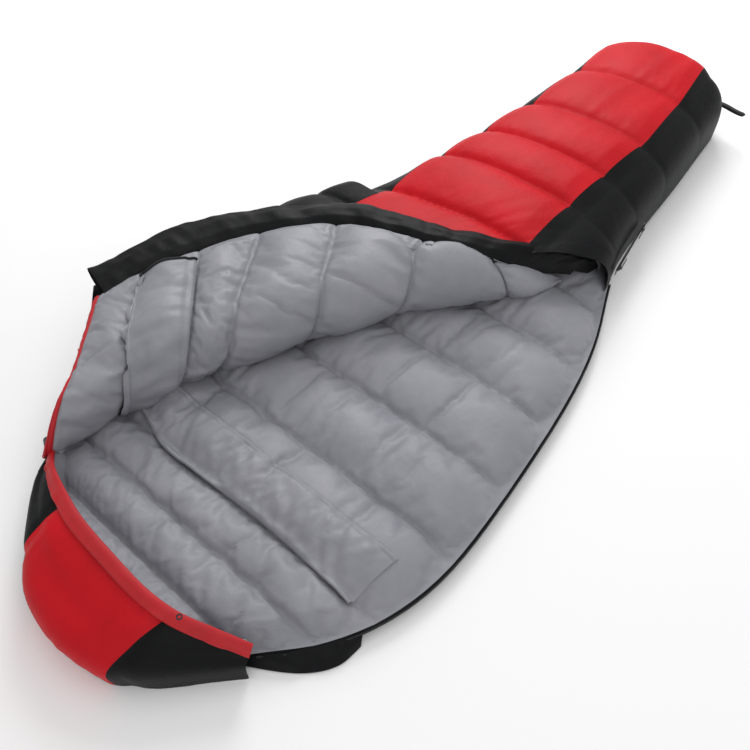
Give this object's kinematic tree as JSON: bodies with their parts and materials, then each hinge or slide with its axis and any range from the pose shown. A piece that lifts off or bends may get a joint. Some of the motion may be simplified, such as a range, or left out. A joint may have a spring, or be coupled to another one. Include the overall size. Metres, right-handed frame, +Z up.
{
  "type": "mummy sleeping bag",
  "caption": "Mummy sleeping bag with hood, lying unzipped, its down top quilt folded open across the bag on a long side zip.",
  "frame": {"origin": "on the ground under the middle of the bag", "axes": "+X across the bag towards the zip, +Y from head to foot, +Z up"},
  "size_m": [0.8968, 2.0683, 0.2123],
  "materials": {
    "black_shell": "calendered nylon taffeta",
    "red_shell": "calendered nylon taffeta",
    "red_binding": "woven nylon binding",
    "down_fill": "down clusters",
    "grey_lining": "satin polyester lining",
    "zip_tape": "woven polyester tape",
    "zip_coil": "nylon coil",
    "zip_slider": "black enamelled zinc",
    "zip_pull": "moulded",
    "cord": "braided",
    "piping": "folded tape",
    "lock_plastic": "moulded acetal",
    "spring_steel": "drawn wire",
    "eyelet_metal": "nickel plated",
    "webbing": "woven nylon webbing"
  },
  "bodies": {
    "bag": {"back_shell": "black_shell", "back_fill": "down_fill", "back_lining": "grey_lining", "back_draft_collar": "grey_lining", "back_zip_tape": "zip_tape", "back_zip_coil": "zip_coil", "back_storm_flap": "black_shell", "leg_centre_panel": "red_shell", "leg_side_left": "black_shell", "leg_side_right": "black_shell", "foot_panel": "black_shell", "leg_lining": "grey_lining", "leg_fill_top": "down_fill", "leg_fill_left": "down_fill", "leg_fill_right": "down_fill", "foot_fill": "down_fill", "chest_centre_panel": "red_shell", "chest_side_left": "black_shell", "chest_fill": "down_fill", "chest_lining": "grey_lining", "hood_centre_panel": "red_shell", "hood_side_left": "black_shell", "hood_side_right": "black_shell", "hood_fill": "down_fill", "hood_lining": "grey_lining", "hood_binding": "red_binding", "hood_drawcord": "cord", "hood_eyelet": "eyelet_metal", "zip_chain": "zip_coil", "zip_bottom_stop": "zip_coil", "zip_top_stop": "zip_coil", "zip_draft_tube": "grey_lining"},
    "fold": {"fold_shell": "red_shell"},
    "flap": {"flap_centre_panel": "red_shell", "flap_side_panel": "black_shell", "flap_fill": "down_fill", "flap_lining": "grey_lining", "flap_storm_flap": "black_shell", "flap_zip_tape": "zip_tape", "flap_zip_coil": "zip_coil", "flap_draft_collar": "grey_lining", "flap_collar_piping": "piping", "chin_binding": "red_binding"},
    "main_slider": {"main_slider": "zip_slider"},
    "main_pull": {"main_pull": "zip_pull"},
    "foot_slider": {"foot_slider": "zip_slider"},
    "foot_pull": {"foot_pull": "zip_pull"},
    "cord_lock": {"cord_lock_body": "lock_plastic", "cord_lock_spring": "spring_steel"},
    "cord_lock_button": {"cord_lock_button": "lock_plastic"},
    "loop": {"hanging_loop": "webbing"}
  },
  "joints": [
    {"name": "fold_travel", "type": "slide", "parent": "bag", "child": "fold", "axis": [0.8988, -0.4384, 0], "range_m": [0, 0.3]},
    {"name": "flap_turn", "type": "hinge", "parent": "fold", "child": "flap", "pos_m": [-0.262, -0.724, 0.139], "axis": [0.4384, 0.8988, 0], "range_deg": [0, 178]},
    {"name": "main_slider_run", "type": "slide", "parent": "bag", "child": "main_slider", "axis": [-0.1589, 0.9873, 0], "range_m": [0, 0.05]},
    {"name": "main_pull_swing", "type": "hinge", "parent": "main_slider", "child": "main_pull", "pos_m": [0.329, 0.2829, 0.07], "axis": [0, 0, 1], "range_deg": [-120, 0]},
    {"name": "foot_slider_run", "type": "slide", "parent": "bag", "child": "foot_slider", "axis": [0.1589, -0.9873, 0], "range_m": [0, 0.05]},
    {"name": "foot_pull_swing", "type": "hinge", "parent": "foot_slider", "child": "foot_pull", "pos_m": [0.3072, 0.4183, 0.07], "axis": [0, 0, 1], "range_deg": [0, 120]},
    {"name": "cord_lock_run", "type": "slide", "parent": "bag", "child": "cord_lock", "axis": [-0.8704, 0.3482, -0.3482], "range_m": [0, 0.02]},
    {"name": "cord_lock_press", "type": "slide", "parent": "cord_lock", "child": "cord_lock_button", "axis": [0.8704, -0.3482, 0.3482], "range_m": [0, 0.0005], "stiffness_N_per_m": 600},
    {"name": "loop_swing", "type": "hinge", "parent": "bag", "child": "loop", "pos_m": [0.217, 1.002, 0.084], "axis": [0, 0, 1], "range_deg": [-30, 60], "stiffness_Nm_per_rad": 0.05}
  ],
  "couplings": [
    {"joint": "fold_travel", "follows": "flap_turn", "m_per_rad": 0.09335}
  ]
}
